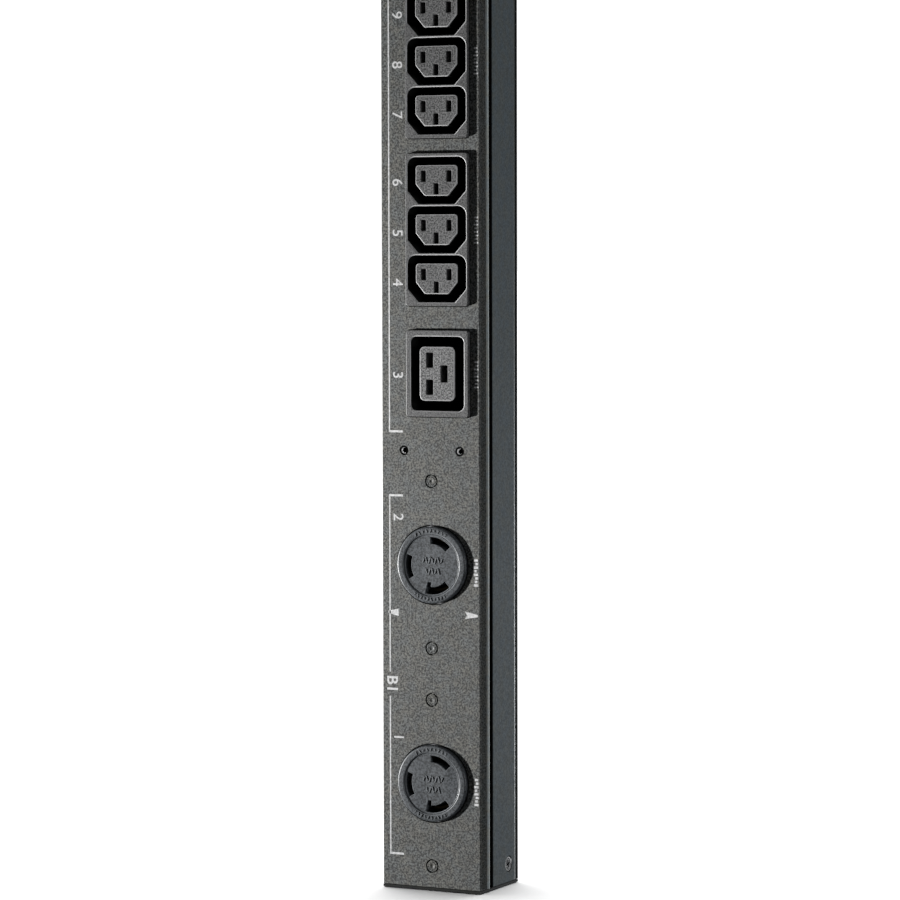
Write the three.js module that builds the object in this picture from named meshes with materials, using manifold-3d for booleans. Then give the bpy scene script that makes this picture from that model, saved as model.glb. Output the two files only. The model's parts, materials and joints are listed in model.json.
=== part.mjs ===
// Rack power strip, upright. Millimetres, +Z up, the outlets face -Y.
import * as THREE from "three";
import { mergeVertices } from "three/addons/utils/BufferGeometryUtils.js";
import Module from "manifold-3d";

const wasm = await Module();
wasm.setup();

// Driving dimensions -----------------------------------------------------------------------------

const GAP = 0.3;

const strip = { length: 914, halfWidth: 28.4, front: -22, back: 22, sheet: 1.2, endPlate: 1.3 };
const shell = { bottom: strip.endPlate + GAP, top: strip.length - strip.endPlate - GAP };
const cover = { flange: 1, lipFront: -14.1, lipRear: -12.9, lipReach: 29.3, corner: 0.6 };
const tongue = { front: -15.5, shoulder: -7.1, outer: 26.7, inner: 25.5 };
// The side walls lean in a little before they fold round to the rear flanges.
const rearFold = { start: 17.9, leanIn: 0.3, flangeInner: 18 };
const sideScrew = { y: 11, endOffset: 11, head: 3.75, shank: 1.6, slope: 1.5 };

const bezelFront = strip.front - 2;
const coverInner = strip.front + strip.sheet;

const twistLock = {
  x: 1, heights: [56, 169.7], radius: 19.95, neck: 18.9, rear: 19.5, back: 2,
  discRadius: 15.6, discDepth: 0.6, studX: 0.4, studReach: 43.4,
};
// Slots of the twist-lock face: radii in mm, angles in degrees from +X towards +Z.
const twistSlots = [
  { inner: 11.0, outer: 14.6, from: 42, to: 93 },
  { inner: 11.8, outer: 15.3, from: 159, to: 210 },
  { inner: 11.4, outer: 15.2, from: -104, to: -47 },
];
const twistHook = { inner: 8.9, outer: 13, from: -104, to: -92 };

const largeOutlet = {
  x: 4.8, z: 268.8, width: 36, height: 44.8, grooveWidth: 30.8, grooveHeight: 38.3, noseWidth: 20.2,
  noseHeight: 28, grooveDepth: 19, back: 1, lineX: -4.2, lineZ: 7, earthX: 4.2,
};

const triple = {
  x: 4.6, heights: [342.95, 429.2, 515.45, 601.7], pitch: 25.25, width: 36, height: 78.6,
  grooveWidth: 34, grooveHeight: 24.2, noseWidth: 24, noseHeight: 15.8, grooveDepth: 16, back: 1,
  lineX: 7.4, lineZ: 2.2, earthZ: -4.3,
};

const inserts = { x: [-15.5, 16.9], heights: [228.8, 880], hole: 2.15, outer: 3.4, bore: 1.9 };

const breaker = {
  x: 1, heights: [720, 800], bezelWidth: 38, bezelHeight: 52, width: 34, height: 46, back: 10,
  windowHalfWidth: 9.6, windowHalfHeight: 13.1, pivotY: -19.5, rockerRadius: 12.6,
  rockerHalfWidth: 9, pin: 2, pinReach: 11.2, tilt: 12,
};

const gland = { hex: 33, thread: 12.4, bore: 8.5, capRadius: 15.6, capTop: 944 };
const terminal = { x: 0, z: 862, width: 42, height: 20, front: 4, back: 18 };
const earth = { x: 10, z: 835 };
const peg = { heights: [120, 794], neck: 3.5, hole: 3.8, head: 6, washer: 5.5 };

// Shape helpers ----------------------------------------------------------------------------------

function toSolid(geometry) {
  const bare = geometry.clone();
  bare.deleteAttribute("normal");
  bare.deleteAttribute("uv");
  const welded = mergeVertices(bare, 1e-4);
  return new wasm.Manifold(new wasm.Mesh({
    numProp: 3,
    vertProperties: Float32Array.from(welded.attributes.position.array),
    triVerts: Uint32Array.from(welded.index.array),
  }));
}

function toGeometry(solid) {
  const mesh = solid.getMesh();
  const geometry = new THREE.BufferGeometry();
  geometry.setAttribute("position", new THREE.BufferAttribute(mesh.vertProperties, 3));
  geometry.setIndex(new THREE.BufferAttribute(mesh.triVerts, 1));
  return geometry;
}

function extrude(points, depth) {
  const outline = new THREE.Shape(points.map(([u, v]) => new THREE.Vector2(u, v)));
  return new THREE.ExtrudeGeometry(outline, { depth, bevelEnabled: false });
}

// Prism of an (x, z) outline, from yFront back to yBack.
function prismY(points, yFront, yBack) {
  return toSolid(extrude(points, yBack - yFront).rotateX(Math.PI / 2).translate(0, yBack, 0));
}

// Prism of an (x, y) outline, from zLow up to zHigh.
function prismZ(points, zLow, zHigh) {
  return toSolid(extrude(points, zHigh - zLow).translate(0, 0, zLow));
}

// Prism of a (y, z) outline, from xLow to xHigh.
function prismX(points, xLow, xHigh) {
  const geometry = extrude(points, xHigh - xLow);
  return toSolid(geometry.rotateZ(Math.PI / 2).rotateY(Math.PI / 2).translate(xLow, 0, 0));
}

function box(xRange, yRange, zRange) {
  const ranges = [xRange, yRange, zRange];
  const size = ranges.map(([low, high]) => high - low);
  const middle = ranges.map(([low, high]) => (low + high) / 2);
  return toSolid(new THREE.BoxGeometry(...size).translate(...middle));
}

// Cylinder along Z, and the same laid along X or Y.
function rodZ(radius, low, high, segments = 24) {
  const geometry = new THREE.CylinderGeometry(radius, radius, high - low, segments);
  return toSolid(geometry.rotateX(Math.PI / 2).translate(0, 0, (low + high) / 2));
}

function rodY(radius, low, high, segments = 24) {
  const geometry = new THREE.CylinderGeometry(radius, radius, high - low, segments);
  return toSolid(geometry.translate(0, (low + high) / 2, 0));
}

function rodX(radius, low, high, segments = 24) {
  const geometry = new THREE.CylinderGeometry(radius, radius, high - low, segments);
  return toSolid(geometry.rotateZ(Math.PI / 2).translate((low + high) / 2, 0, 0));
}

// Body of revolution about Z. The profile is (radius, z) and starts and ends on the axis.
function turnedZ(profile, segments = 28) {
  const points = profile.map(([radius, height]) => new THREE.Vector2(radius, height));
  return toSolid(new THREE.LatheGeometry(points, segments).rotateX(Math.PI / 2));
}

function hexPrism(acrossFlats, low, high) {
  const radius = acrossFlats / Math.sqrt(3);
  return rodZ(radius, low, high, 6).rotate([0, 0, 30]);
}

function arcPoints(centreU, centreV, radius, fromDegrees, toDegrees, steps) {
  const points = [];
  for (let step = 0; step <= steps; step += 1) {
    const angle = THREE.MathUtils.degToRad(fromDegrees + ((toDegrees - fromDegrees) * step) / steps);
    points.push([centreU + radius * Math.cos(angle), centreV + radius * Math.sin(angle)]);
  }
  return points;
}

function roundedOutline(width, height, radius, steps = 4) {
  const u = width / 2 - radius;
  const v = height / 2 - radius;
  return [
    ...arcPoints(u, v, radius, 0, 90, steps),
    ...arcPoints(-u, v, radius, 90, 180, steps),
    ...arcPoints(-u, -v, radius, 180, 270, steps),
    ...arcPoints(u, -v, radius, 270, 360, steps),
  ];
}

// Socket outline: two rounded corners at the top, two cut corners at the bottom.
function socketOutline(width, height, radius, cutAcross, cutUp) {
  const u = width / 2;
  const v = height / 2;
  return [
    ...arcPoints(u - radius, v - radius, radius, 0, 90, 4),
    ...arcPoints(-u + radius, v - radius, radius, 90, 180, 4),
    [-u, -v + cutUp],
    [-u + cutAcross, -v],
    [u - cutAcross, -v],
    [u, -v + cutUp],
  ];
}

function sectorOutline({ inner, outer, from, to }, steps) {
  const outside = arcPoints(0, 0, outer, from, to, steps);
  const inside = arcPoints(0, 0, inner, from, to, steps).reverse();
  return [...outside, ...inside];
}

// Placing pieces ---------------------------------------------------------------------------------

const part = new THREE.Group();
part.name = "rack_power_strip";

const finishes = {
  coverPaint: { color: 0x4a4b49, roughness: 0.72, metalness: 0.1 },
  channelPaint: { color: 0x50545a, roughness: 0.6, metalness: 0.15 },
  socketPlastic: { color: 0x46474a, roughness: 0.55, metalness: 0 },
  darkPlastic: { color: 0x1c1c1e, roughness: 0.5, metalness: 0 },
  zincSteel: { color: 0xb9bcc0, roughness: 0.35, metalness: 1 },
  blackSteel: { color: 0x2a2b2d, roughness: 0.4, metalness: 0.6 },
  brass: { color: 0xc8a55a, roughness: 0.35, metalness: 1 },
  copper: { color: 0xc07a50, roughness: 0.35, metalness: 1 },
  barrier: { color: 0xd8d5c6, roughness: 0.6, metalness: 0 },
  rubber: { color: 0x18181a, roughness: 0.85, metalness: 0 },
  blackWire: { color: 0x141416, roughness: 0.5, metalness: 0 },
  whiteWire: { color: 0xdedede, roughness: 0.5, metalness: 0 },
  greenWire: { color: 0x2f8f46, roughness: 0.5, metalness: 0 },
};

function add(name, solid, finish, position = [0, 0, 0]) {
  const material = new THREE.MeshStandardMaterial(finishes[finish]);
  const mesh = new THREE.Mesh(toGeometry(solid), material);
  mesh.name = name;
  mesh.position.set(...position);
  part.add(mesh);
}

// Housing ----------------------------------------------------------------------------------------

function mirroredProfile(rightHalf) {
  const leftHalf = rightHalf.map(([x, y]) => [-x, y]).reverse();
  return [...rightHalf, ...leftHalf];
}

function frontCover() {
  const { halfWidth, front } = strip;
  const inside = halfWidth - cover.flange;
  const folded = prismZ(mirroredProfile([
    ...arcPoints(halfWidth - cover.corner, front + cover.corner, cover.corner, 270, 360, 3),
    [halfWidth, cover.lipFront],
    [cover.lipReach, cover.lipFront],
    [cover.lipReach, cover.lipRear],
    [inside, cover.lipRear],
    [inside, coverInner],
  ]), shell.bottom, shell.top);

  const cuts = [];
  for (const z of twistLock.heights) {
    cuts.push(rodY(twistLock.radius + 0.35, -30, -15, 48).translate(twistLock.x, 0, z));
    for (const side of [-1, 1]) {
      const studZ = z + side * twistLock.studReach;
      cuts.push(rodY(3.4, strip.front - 1, strip.front + 0.8).translate(twistLock.studX, 0, studZ));
      cuts.push(rodY(1.9, -30, -15, 16).translate(twistLock.studX, 0, studZ));
    }
  }
  for (const z of inserts.heights) {
    for (const x of inserts.x) {
      cuts.push(rodY(inserts.hole, -30, -15, 20).translate(x, 0, z));
    }
  }
  const window = (width, height) => roundedOutline(width + 2 * GAP, height + 2 * GAP, 1.8, 3);
  const { x, z, width, height } = largeOutlet;
  cuts.push(prismY(window(width, height), -30, -15).translate(x, 0, z));
  for (const tripleZ of triple.heights) {
    const opening = prismY(window(triple.width, triple.height), -30, -15);
    cuts.push(opening.translate(triple.x, 0, tripleZ));
  }
  for (const breakerZ of breaker.heights) {
    const across = breaker.width / 2 + GAP;
    const up = breaker.height / 2 + GAP;
    cuts.push(box([-across, across], [-30, -15], [-up, up]).translate(breaker.x, 0, breakerZ));
  }
  return folded.subtract(wasm.Manifold.union(cuts));
}

// Cone through one side wall for a countersunk screw, its wide end outwards.
function countersink(side) {
  const { halfWidth, sheet } = strip;
  const wide = sideScrew.head + 0.45;
  const narrow = wide - sideScrew.slope * sheet;
  const cone = turnedZ([
    [0, halfWidth - sheet - 1],
    [narrow, halfWidth - sheet - 1],
    [narrow, halfWidth - sheet],
    [wide, halfWidth],
    [wide, halfWidth + 1],
    [0, halfWidth + 1],
  ], 24);
  return cone.rotate([0, 90 * side, 0]);
}

function sideScrewHeights() {
  return [sideScrew.endOffset, strip.length - sideScrew.endOffset];
}

// Two side walls of the rear half, each with a tongue behind the cover and a flange at the back.
function rearChannel() {
  const { halfWidth, back, sheet } = strip;
  const { start, leanIn, flangeInner } = rearFold;
  const inside = halfWidth - sheet;
  const flangeBack = back - sheet - GAP;
  const wall = prismZ([
    [flangeInner, flangeBack],
    [flangeInner, flangeBack - sheet],
    [inside - leanIn, flangeBack - sheet],
    [inside, start - sheet],
    [inside, tongue.shoulder + sheet],
    [tongue.inner, tongue.shoulder + sheet],
    [tongue.inner, tongue.front],
    [tongue.outer, tongue.front],
    [tongue.outer, tongue.shoulder],
    [halfWidth, tongue.shoulder],
    [halfWidth, start],
    ...arcPoints(halfWidth - leanIn - 0.5, flangeBack - 0.5, 0.5, 0, 90, 2),
  ], shell.bottom, shell.top);
  const bridge = box([-flangeInner - 1, flangeInner + 1], [flangeBack - sheet, flangeBack],
    [shell.bottom + 30, shell.bottom + 70]);
  const upperBridge = bridge.translate(0, 0, shell.top - shell.bottom - 100);
  const walls = wall.add(wall.mirror([1, 0, 0])).add(bridge).add(upperBridge);

  const cuts = [];
  for (const side of [-1, 1]) {
    for (const z of sideScrewHeights()) {
      cuts.push(countersink(side).translate(0, sideScrew.y, z));
    }
  }
  return walls.subtract(wasm.Manifold.union(cuts));
}

// Flat plate that closes the rear, with holes for the pegs and the earth stud.
function backPlate() {
  const { halfWidth, back, sheet } = strip;
  const plate = box([-halfWidth, halfWidth], [back - sheet, back], [shell.bottom, shell.top]);
  const cuts = peg.heights.map((z) => rodY(peg.hole, 15, 30).translate(0, 0, z));
  cuts.push(rodY(2.3, 15, 30, 16).translate(earth.x, 0, earth.z));
  return plate.subtract(wasm.Manifold.union(cuts));
}

// Two ears that take the side screws, from the plate to the given height.
function screwEars(zLow, zHigh, screwZ) {
  const outer = strip.halfWidth - strip.sheet - GAP;
  const ears = [];
  for (const side of [-1, 1]) {
    const across = [side * outer, side * (outer - 1.4)].sort((a, b) => a - b);
    const ear = box(across, [3, 17], [zLow, zHigh]);
    ears.push(ear.subtract(rodX(1.95, -40, 40, 16).translate(0, sideScrew.y, screwZ)));
  }
  return wasm.Manifold.union(ears);
}

function bottomEndPlate() {
  const { halfWidth, front, back, endPlate } = strip;
  const foot = box([-halfWidth, halfWidth], [front, back], [0, endPlate]);
  return foot.add(screwEars(endPlate - 0.5, 23, sideScrew.endOffset));
}

function topEndPlate() {
  const { halfWidth, front, back, length, endPlate } = strip;
  const lid = box([-halfWidth, halfWidth], [front, back], [length - endPlate, length]);
  const ears = screwEars(length - 23, length - endPlate + 0.5, length - sideScrew.endOffset);
  return lid.add(ears).subtract(rodZ(gland.thread + GAP, length - 8, length + 5, 32));
}

// Countersunk screw for the +X wall, its head flush with the wall.
function sideScrewSolid() {
  const face = strip.halfWidth - 0.05;
  const cone = (sideScrew.head - sideScrew.shank) / sideScrew.slope;
  const screw = turnedZ([
    [0, 19],
    [1.1, 19],
    [sideScrew.shank, 19.8],
    [sideScrew.shank, face - 0.15 - cone],
    [sideScrew.head, face - 0.15],
    [sideScrew.head, face],
    [0, face],
  ], 24);
  const recess = box([-2.1, 2.1], [-0.5, 0.5], [face - 1.1, face + 1]);
  return screw.subtract(recess.add(recess.rotate([0, 0, 90])));
}

// Twist-lock outlets -----------------------------------------------------------------------------

function twistLockBody() {
  const { radius, neck, rear, back, discRadius, discDepth } = twistLock;
  const face = rodY(radius, bezelFront, coverInner, 48);
  const collar = rodY(neck, coverInner - 0.5, -18.5, 40);
  const drum = rodY(rear, -19, back, 40);
  const cuts = [rodY(discRadius, bezelFront - 1, bezelFront + discDepth, 40)];
  for (const slot of twistSlots) {
    cuts.push(prismY(sectorOutline(slot, 7), bezelFront - 1, back + 1));
  }
  cuts.push(prismY(sectorOutline(twistHook, 2), bezelFront - 1, back + 1));
  return face.add(collar).add(drum).subtract(wasm.Manifold.union(cuts));
}

function twistLockStrap() {
  const shift = twistLock.studX - twistLock.x;
  const outline = roundedOutline(27, 104, 4, 3);
  const plate = prismY(outline, coverInner + GAP, coverInner + 1.5).translate(shift, 0, 0);
  const waist = rodY(21.6, coverInner + GAP, coverInner + 1.5, 40);
  const cuts = [rodY(twistLock.neck + GAP, -25, -15, 40)];
  for (const side of [-1, 1]) {
    cuts.push(rodY(1.9, -25, -15, 16).translate(shift, 0, side * twistLock.studReach));
  }
  return plate.add(waist).subtract(wasm.Manifold.union(cuts));
}

function strapStud() {
  const head = rodY(3.1, strip.front, strip.front + 0.5, 24);
  return head.add(rodY(1.6, strip.front + 0.4, -13.5, 16));
}

function strapNut() {
  const hexagon = hexPrism(6.4, 0, 2.4).subtract(rodZ(1.9, -1, 4, 16));
  return hexagon.rotate([90, 0, 0]);
}

// Curved contact leaf inside a slot, with a foot behind the drum.
function twistContact(slot) {
  const middle = (slot.inner + slot.outer) / 2;
  const leaf = { inner: middle - 0.6, outer: middle + 0.6, from: slot.from + 6, to: slot.to - 6 };
  const foot = { inner: middle - 2, outer: middle + 2, from: slot.from + 3, to: slot.to - 3 };
  const footFront = twistLock.back + GAP;
  const blade = prismY(sectorOutline(leaf, 6), -17, footFront + 0.5);
  return blade.add(prismY(sectorOutline(foot, 6), footFront, footFront + 1.2));
}

// Large rectangular outlet -----------------------------------------------------------------------

function largeOutletBody() {
  const { width, height, back, grooveDepth, lineX, lineZ, earthX } = largeOutlet;
  const grooveBack = bezelFront + grooveDepth;
  const block = prismY(roundedOutline(width, height, 1.5, 3), bezelFront, -18.5);
  const flange = box([-width / 2 - 1, width / 2 + 1], [coverInner + GAP, -18.5],
    [-height / 2 - 1, height / 2 + 1]);
  const rear = box([-17.6, 17.6], [-19, back], [-22, 22]);
  const wide = roundedOutline(largeOutlet.grooveWidth, largeOutlet.grooveHeight, 3.3);
  const narrow = roundedOutline(largeOutlet.noseWidth, largeOutlet.noseHeight, 2.8);
  const groove = prismY(wide, bezelFront - 1, grooveBack)
    .subtract(prismY(narrow, bezelFront - 2, grooveBack + 1));
  const cuts = [groove];
  const slots = [[lineX, lineZ, 3.85], [lineX, -lineZ, 3.85], [earthX, 0, 4.35]];
  for (const [x, z, reach] of slots) {
    cuts.push(box([x - 2, x + 2], [bezelFront - 1, back + 1], [z - reach, z + reach]));
    cuts.push(box([x - 2.7, x + 2.7], [-20, back + 1], [z - 4.6, z + 4.6]));
  }
  return block.add(flange).add(rear).subtract(wasm.Manifold.union(cuts));
}

// Two spring leaves joined by a foot behind the body.
function forkContact(spread, leaf, halfHeight, front, footFront, footBack) {
  const height = [-halfHeight, halfHeight];
  const left = box([-spread - leaf, -spread], [front, footFront + 0.2], height);
  const right = box([spread, spread + leaf], [front, footFront + 0.2], height);
  const foot = box([-spread - leaf, spread + leaf], [footFront, footBack], height);
  return left.add(right).add(foot);
}

// Modules of three sockets -----------------------------------------------------------------------

function tripleSocketZ(index) {
  return (index - 1) * triple.pitch;
}

function tripleBody() {
  const { width, height, back, grooveDepth } = triple;
  const grooveBack = bezelFront + grooveDepth;
  const block = prismY(roundedOutline(width, height, 1.5, 3), bezelFront, -18.5);
  const flange = box([-width / 2 - 1, width / 2 + 1], [coverInner + GAP, -18.5],
    [-height / 2 - 1, height / 2 + 1]);
  const rear = box([-17.6, 17.6], [-19, back], [-39, 39]);
  const wide = socketOutline(triple.grooveWidth, triple.grooveHeight, 4.8, 6.4, 6.9);
  const narrow = socketOutline(triple.noseWidth, triple.noseHeight, 1.8, 5.2, 6);
  const groove = prismY(wide, bezelFront - 1, grooveBack)
    .subtract(prismY(narrow, bezelFront - 2, grooveBack + 1));
  const cuts = [];
  for (let index = 0; index < 3; index += 1) {
    const z = tripleSocketZ(index);
    cuts.push(groove.translate(0, 0, z));
    for (const [slotX, slotZ] of tripleSlots()) {
      const across = [slotX - 1.4, slotX + 1.4];
      const up = [z + slotZ - 2.85, z + slotZ + 2.85];
      cuts.push(box(across, [bezelFront - 1, back + 1], up));
      cuts.push(box([slotX - 2.3, slotX + 2.3], [-20, back + 1], up));
    }
  }
  return block.add(flange).add(rear).subtract(wasm.Manifold.union(cuts));
}

function tripleSlots() {
  return [[-triple.lineX, triple.lineZ], [triple.lineX, triple.lineZ], [0, triple.earthZ]];
}

// Bus bar behind all modules, with a fork standing in each socket's contact chamber.
function busBar(slotIndex) {
  const [slotX, slotZ] = tripleSlots()[slotIndex];
  const barFront = triple.back + 0.6;
  const low = triple.heights[0] - 42;
  const high = triple.heights[triple.heights.length - 1] + 48;
  const pieces = [box([slotX - 2.2, slotX + 2.2], [barFront, barFront + 1.2], [low, high])];
  for (const moduleZ of triple.heights) {
    for (let index = 0; index < 3; index += 1) {
      const z = moduleZ + tripleSocketZ(index) + slotZ;
      for (const side of [-1, 1]) {
        const across = [slotX + side * 1.1, slotX + side * 1.7].sort((a, b) => a - b);
        pieces.push(box(across, [-16, barFront + 0.2], [z - 2.4, z + 2.4]));
      }
    }
  }
  return wasm.Manifold.union(pieces);
}

// Threaded inserts behind the cover --------------------------------------------------------------

function insertSleeve() {
  const sleeve = rodY(inserts.outer, coverInner + GAP, -14, 20);
  return sleeve.subtract(rodY(inserts.bore, -30, -10, 20));
}

// Breakers ---------------------------------------------------------------------------------------

function breakerBody() {
  const { width, height, bezelWidth, bezelHeight, back, pivotY, pin } = breaker;
  const { windowHalfWidth, windowHalfHeight } = breaker;
  const bezel = prismY(roundedOutline(bezelWidth, bezelHeight, 2, 3), bezelFront - 0.6, -22.3);
  const inside = box([-width / 2, width / 2], [-22.5, back], [-height / 2, height / 2]);
  const cavity = box([-windowHalfWidth, windowHalfWidth], [bezelFront - 2, pivotY + 13],
    [-windowHalfHeight, windowHalfHeight]);
  const pinHoles = rodX(pin + GAP, -breaker.pinReach - GAP, breaker.pinReach + GAP, 20);
  return bezel.add(inside).subtract(cavity).subtract(pinHoles.translate(0, pivotY, 0));
}

// Rocker about its pivot at the local origin, pressed in at the top.
function breakerRocker() {
  const { rockerRadius, rockerHalfWidth, pin, pinReach, tilt } = breaker;
  const lower = arcPoints(0, 0, rockerRadius, 242, 282, 4);
  const upper = arcPoints(0, 0, rockerRadius, 78, 118, 4);
  const profile = [[-4.4, 0], ...lower, [4.2, -6], [4.2, 6], ...upper];
  const pad = prismX(profile, -rockerHalfWidth, rockerHalfWidth);
  return pad.add(rodX(pin, -pinReach, pinReach, 20)).rotate([-tilt, 0, 0]);
}

// Cable gland at the top, without a cord ---------------------------------------------------------

function glandBody() {
  const { hex, thread, bore } = gland;
  const top = strip.length;
  const stem = rodZ(thread, top - 12, top + 16, 32);
  return stem.add(hexPrism(hex, top + GAP, top + 6.5)).subtract(rodZ(bore, top - 20, top + 40, 28));
}

function glandLockNut() {
  const top = strip.length - strip.endPlate - GAP - 1.6;
  return hexPrism(32, top - 5.5, top).subtract(rodZ(gland.thread + GAP, top - 9, top + 5, 32));
}

function glandSeal() {
  const base = strip.length + 16 + GAP;
  return rodZ(12, base, base + 6, 32).subtract(rodZ(8, base - 1, base + 8, 28));
}

function glandCap() {
  const { capRadius, capTop, thread } = gland;
  const base = strip.length + 6.5 + GAP;
  const shoulder = strip.length + 16 + 6 + 2 * GAP;
  const outside = turnedZ([
    [0, base],
    [capRadius, base],
    [capRadius, capTop - 7],
    [capRadius - 1.2, capTop - 3.5],
    [capRadius - 4.2, capTop - 0.8],
    [capRadius - 6, capTop],
    [0, capTop],
  ], 32);
  const hollow = turnedZ([
    [0, base - 1],
    [thread + GAP, base - 1],
    [thread + GAP, shoulder],
    [gland.bore, shoulder + 2],
    [gland.bore, capTop + 1],
    [0, capTop + 1],
  ], 32);
  const grips = [];
  for (let index = 0; index < 12; index += 1) {
    const groove = rodZ(1.1, base - 1, capTop - 8, 8).translate(capRadius + 0.5, 0, 0);
    grips.push(groove.rotate([0, 0, index * 30]));
  }
  return outside.subtract(hollow).subtract(wasm.Manifold.union(grips));
}

// Supply wiring ----------------------------------------------------------------------------------

function terminalBlock() {
  const { width, height, front, back } = terminal;
  const block = box([-width / 2, width / 2], [front, back], [-height / 2, height / 2]);
  const cuts = [];
  for (const x of [-13, 0, 13]) {
    cuts.push(rodZ(2.8, -20, 20, 16).translate(x, 13, 0));
    cuts.push(rodY(2.6, 0, 11, 16).translate(x, 0, 0));
  }
  for (const x of [-6.5, 6.5]) {
    cuts.push(box([x - 0.8, x + 0.8], [0, 8], [-15, 15]));
  }
  return block.subtract(wasm.Manifold.union(cuts));
}

function earthStud() {
  const flange = rodY(3.6, 19.3, strip.back - strip.sheet - GAP, 20);
  return flange.add(rodY(2, 5, 21.9, 16));
}

function earthNut() {
  const hexagon = hexPrism(7, 0, 3).subtract(rodZ(2.3, -1, 5, 16));
  return hexagon.rotate([90, 0, 0]);
}

// Button that hangs the strip in a keyhole: neck and head outside, washer face inside.
function mountingPeg() {
  const wall = strip.back;
  const plateInner = wall - strip.sheet - GAP;
  const profile = turnedZ([
    [0, plateInner - 1.7],
    [peg.washer, plateInner - 1.7],
    [peg.washer, plateInner],
    [peg.neck, plateInner],
    [peg.neck, wall + 3],
    [peg.head, wall + 3.4],
    [peg.head, wall + 5.6],
    [peg.head - 0.8, wall + 6.4],
    [0, wall + 6.4],
  ], 28);
  return profile.rotate([-90, 0, 0]);
}

function wire(points, radius) {
  const path = new THREE.CatmullRomCurve3(points.map(([x, y, z]) => new THREE.Vector3(x, y, z)));
  const outline = new THREE.Shape(arcPoints(0, 0, radius, 0, 315, 7)
    .map(([u, v]) => new THREE.Vector2(u, v)));
  return toSolid(new THREE.ExtrudeGeometry(outline, {
    steps: 10,
    bevelEnabled: false,
    extrudePath: path,
  }));
}

// Shallow tray of sheet plastic between the bus bars and the rear channel.
function barrier() {
  const tray = box([-25, 25], [6, 16], [236, 690]);
  return tray.subtract(box([-24.2, 24.2], [6.8, 17], [230, 700]));
}

// Assembly ---------------------------------------------------------------------------------------

add("rear_channel", rearChannel(), "channelPaint");
add("back_plate", backPlate(), "blackSteel");
add("front_cover", frontCover(), "coverPaint");
add("end_plate_bottom", bottomEndPlate(), "blackSteel");
add("end_plate_top", topEndPlate(), "blackSteel");

for (const [end, z] of [["bottom", sideScrewHeights()[0]], ["top", sideScrewHeights()[1]]]) {
  const place = [0, sideScrew.y, z];
  add(`side_screw_${end}_right`, sideScrewSolid().rotate([0, 90, 0]), "blackSteel", place);
  add(`side_screw_${end}_left`, sideScrewSolid().rotate([0, -90, 0]), "blackSteel", place);
}

twistLock.heights.forEach((z, index) => {
  const place = [twistLock.x, 0, z];
  const label = `outlet_${index + 1}`;
  add(`${label}_body`, twistLockBody(), "socketPlastic", place);
  add(`${label}_strap`, twistLockStrap(), "zincSteel", place);
  ["line_1", "line_2", "earth"].forEach((pole, slot) => {
    add(`${label}_contact_${pole}`, twistContact(twistSlots[slot]), "brass", place);
  });
  for (const [side, word] of [[-1, "low"], [1, "high"]]) {
    const studZ = z + side * twistLock.studReach;
    add(`${label}_stud_${word}`, strapStud(), "coverPaint", [twistLock.studX, 0, studZ]);
    const nutPlace = [twistLock.studX, coverInner + 1.5 + GAP + 2.4, studZ];
    add(`${label}_nut_${word}`, strapNut(), "zincSteel", nutPlace);
  }
});

inserts.heights.forEach((z, index) => {
  const word = index === 0 ? "low" : "high";
  add(`insert_${word}_left`, insertSleeve(), "zincSteel", [inserts.x[0], 0, z]);
  add(`insert_${word}_right`, insertSleeve(), "zincSteel", [inserts.x[1], 0, z]);
});

{
  const { x, z, lineX, lineZ, earthX, back } = largeOutlet;
  const fork = forkContact(1.5, 0.7, 3.6, -16, back + GAP, back + GAP + 1.2);
  add("outlet_3_body", largeOutletBody(), "socketPlastic", [x, 0, z]);
  add("outlet_3_contact_line_1", fork, "brass", [x + lineX, 0, z + lineZ]);
  add("outlet_3_contact_line_2", fork, "brass", [x + lineX, 0, z - lineZ]);
  add("outlet_3_contact_earth", fork, "brass", [x + earthX, 0, z]);
}

triple.heights.forEach((z, index) => {
  const first = 4 + 3 * index;
  add(`outlets_${first}_to_${first + 2}_body`, tripleBody(), "socketPlastic", [triple.x, 0, z]);
});
["bus_bar_line_1", "bus_bar_line_2", "bus_bar_earth"].forEach((name, slot) => {
  add(name, busBar(slot), "copper", [triple.x, 0, 0]);
});
add("insulating_barrier", barrier(), "barrier");

breaker.heights.forEach((z, index) => {
  add(`breaker_${index + 1}_body`, breakerBody(), "darkPlastic", [breaker.x, 0, z]);
  const pivot = [breaker.x, breaker.pivotY, z];
  add(`breaker_${index + 1}_rocker`, breakerRocker(), "darkPlastic", pivot);
});

add("gland_body", glandBody(), "darkPlastic");
add("gland_lock_nut", glandLockNut(), "darkPlastic");
add("gland_seal", glandSeal(), "rubber");
add("gland_cap", glandCap(), "darkPlastic");

add("terminal_block", terminalBlock(), "barrier", [terminal.x, 0, terminal.z]);
add("earth_stud", earthStud(), "zincSteel", [earth.x, 0, earth.z]);
add("earth_nut", earthNut(), "zincSteel", [earth.x, 13.8, earth.z]);
peg.heights.forEach((z, index) => {
  add(`mounting_peg_${index === 0 ? "low" : "high"}`, mountingPeg(), "zincSteel", [0, 0, z]);
});

const wireLine1 = [[-13, 13, 858], [-13, 14, 840], [-12, 15.5, 800], [-12, 15, 705]];
const wireLine2 = [[0, 13, 858], [0, 14, 840], [0, 15, 800], [2, 14, 705]];
const wireEarth = [[13, 13, 858], [13, 14, 848], [12, 15.5, 843], [10.4, 16.5, 839.6]];
add("wire_line_1", wire(wireLine1, 1.9), "blackWire");
add("wire_line_2", wire(wireLine2, 1.9), "whiteWire");
add("wire_earth", wire(wireEarth, 1.6), "greenWire");

export default part;
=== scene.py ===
"""Rack power strip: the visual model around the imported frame. Metres, +Z up, outlets face -Y."""

import json
import math

import bmesh
import bpy
from mathutils import Matrix, Vector
from mathutils.geometry import tessellate_polygon

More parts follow.
